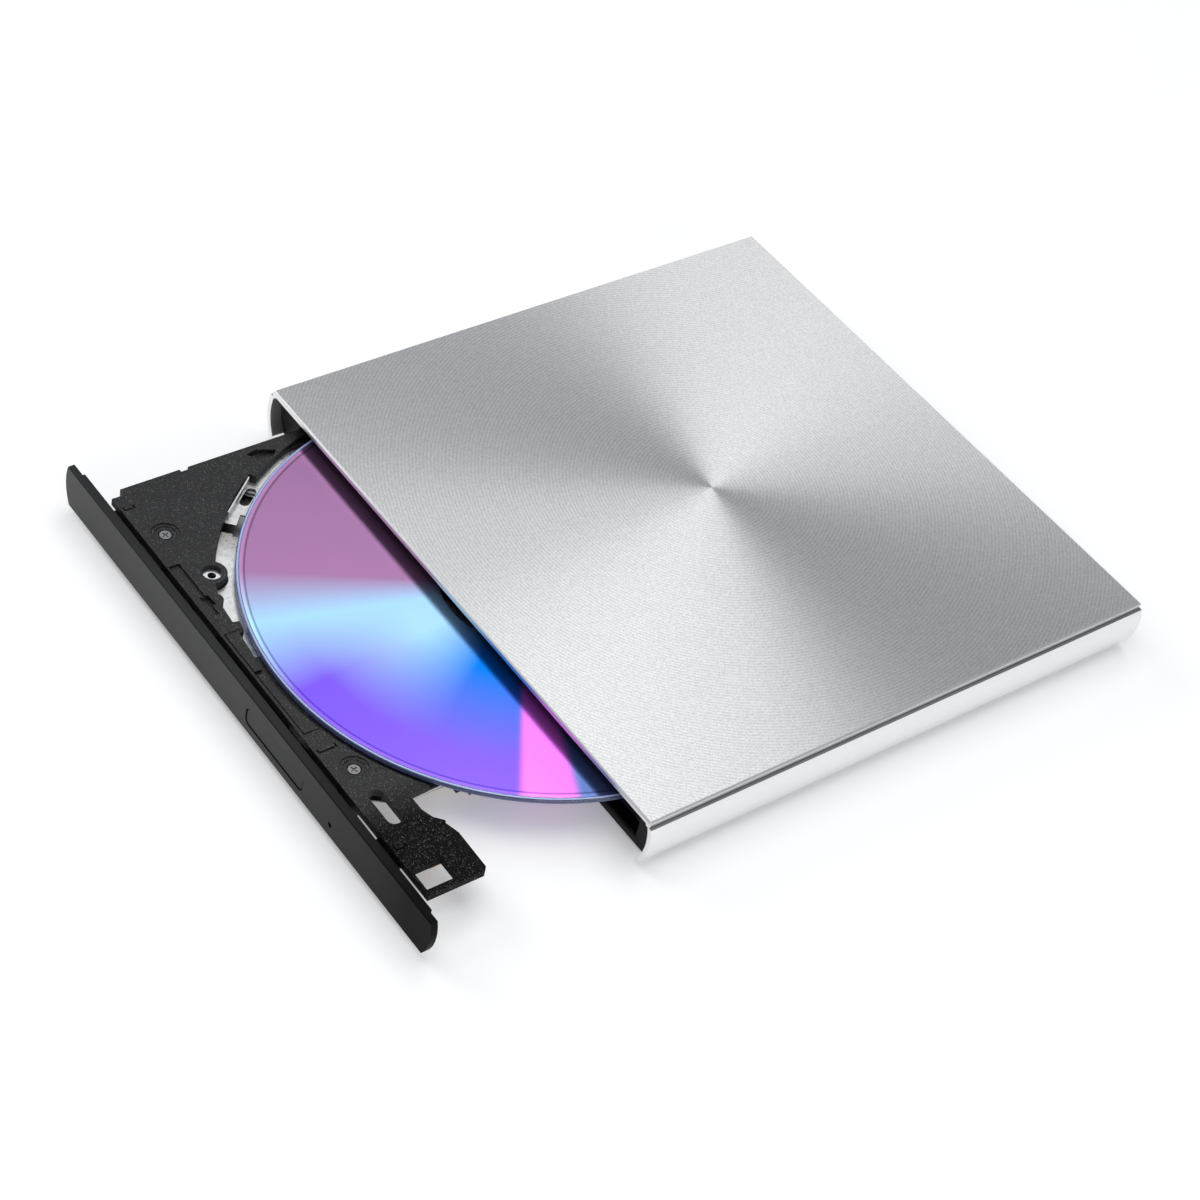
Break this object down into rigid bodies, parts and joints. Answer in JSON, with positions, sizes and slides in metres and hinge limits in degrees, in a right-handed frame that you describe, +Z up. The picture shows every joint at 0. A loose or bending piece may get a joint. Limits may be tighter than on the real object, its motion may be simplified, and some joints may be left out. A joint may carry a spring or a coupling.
{
  "type": "external optical drive",
  "caption": "Slim external disc drive: silver case, sliding black tray on telescopic rails, disc on its spindle, pickup sled, sprung eject button.",
  "frame": {"origin": "on the desk under the middle of the case, leaving the tray out of account", "axes": "+Z up, the tray comes out towards -Y, +X to the right seen from the front"},
  "size_m": [0.1424, 0.1859, 0.0139],
  "materials": {
    "silver_cover": "spun concentric grain on top, satin sides",
    "case_black": "fine matt",
    "bezel_black": "satin",
    "tray_black": "fine spark texture",
    "inner_black": "matt",
    "rubber": "matt",
    "sheet_steel": "plated sheet",
    "galvanised": "bright galvanised",
    "bright_steel": "polished",
    "dark_screw": "blackened",
    "motor_metal": "plated",
    "cast_alloy": "die cast",
    "brass": "turned",
    "copper_coil": "enamelled wire",
    "pcb_green": "solder mask",
    "flex": "polyimide film",
    "disc": "mirrored data side",
    "lens": "coated lens"
  },
  "bodies": {
    "case": {"top_cover": "silver_cover", "bottom_cover": "case_black", "front_frame": "case_black", "rubber_feet": "rubber", "case_screws": "dark_screw", "chassis_pan": "sheet_steel", "chassis_lid": "sheet_steel", "chassis_screws": "bright_steel", "left_guide": "inner_black", "right_guide": "inner_black", "main_pcb": "pcb_green", "main_chips": "inner_black", "sata_plug": "inner_black", "bridge_pcb": "pcb_green", "bridge_chip": "inner_black", "sata_receptacle": "inner_black", "usb_shell": "bright_steel", "usb_tongue": "inner_black", "flex_cable": "flex", "latch_post": "sheet_steel"},
    "left_rail": {"left_rail": "sheet_steel"},
    "right_rail": {"right_rail": "sheet_steel"},
    "tray": {"tray_moulding": "tray_black", "bezel": "bezel_black", "deck_plate": "galvanised", "tray_bottom": "sheet_steel", "tray_screws": "cast_alloy", "tray_boss": "bright_steel", "spindle_stator": "motor_metal", "guide_rods": "bright_steel", "rod_clips": "inner_black", "stepper_motor": "motor_metal", "screw_bearing": "brass", "solenoid_coil": "copper_coil", "front_pcb": "pcb_green", "eject_switch": "motor_metal", "tray_flex": "flex"},
    "spindle": {"disc": "disc", "turntable": "inner_black", "clamp_balls": "bright_steel", "grip_ring": "rubber"},
    "pickup": {"pickup_sled": "cast_alloy", "rod_bushes": "brass", "laser_module": "brass"},
    "lens": {"lens_holder": "inner_black", "objective_lens": "lens"},
    "lead_screw": {"lead_screw": "bright_steel"},
    "eject_button": {"eject_button": "bezel_black"},
    "latch_lever": {"latch_lever": "inner_black"},
    "solenoid_plunger": {"solenoid_plunger": "bright_steel"}
  },
  "joints": [
    {"name": "tray_slide", "type": "slide", "parent": "case", "child": "tray", "axis": [0, -1, 0], "range_m": [-0.0505, 0.0785]},
    {"name": "left_rail_slide", "type": "slide", "parent": "case", "child": "left_rail", "axis": [0, -1, 0], "range_m": [0, 0.056]},
    {"name": "right_rail_slide", "type": "slide", "parent": "case", "child": "right_rail", "axis": [0, -1, 0], "range_m": [0, 0.056]},
    {"name": "eject_press", "type": "slide", "parent": "tray", "child": "eject_button", "axis": [0, 1, 0], "range_m": [0, 0.0005], "stiffness_N_per_m": 600},
    {"name": "disc_spin", "type": "hinge", "parent": "tray", "child": "spindle", "pos_m": [0.001, -0.0495, 0.0065], "axis": [0, 0, 1], "continuous": true},
    {"name": "pickup_slide", "type": "slide", "parent": "tray", "child": "pickup", "axis": [-0.7071, -0.7071, 0], "range_m": [-0.014, 0.0195]},
    {"name": "lens_focus", "type": "slide", "parent": "pickup", "child": "lens", "axis": [0, 0, 1], "range_m": [-0.0003, 0.0003], "stiffness_N_per_m": 60},
    {"name": "lead_screw_turn", "type": "hinge", "parent": "tray", "child": "lead_screw", "pos_m": [-0.03195, -0.05897, 0.0052], "axis": [-0.7071, -0.7071, 0], "range_deg": [-1700, 2360]},
    {"name": "latch_pivot", "type": "hinge", "parent": "tray", "child": "latch_lever", "pos_m": [0.0466, -0.1029, 0.0056], "axis": [0, 0, 1], "range_deg": [0, 16]},
    {"name": "plunger_slide", "type": "slide", "parent": "tray", "child": "solenoid_plunger", "axis": [1, 0, 0], "range_m": [0, 0.00064]}
  ],
  "couplings": [
    {"joint": "lead_screw_turn", "follows": "pickup_slide", "rad_per_m": 2094.4},
    {"joint": "latch_pivot", "follows": "plunger_slide", "rad_per_m": 436.33}
  ]
}
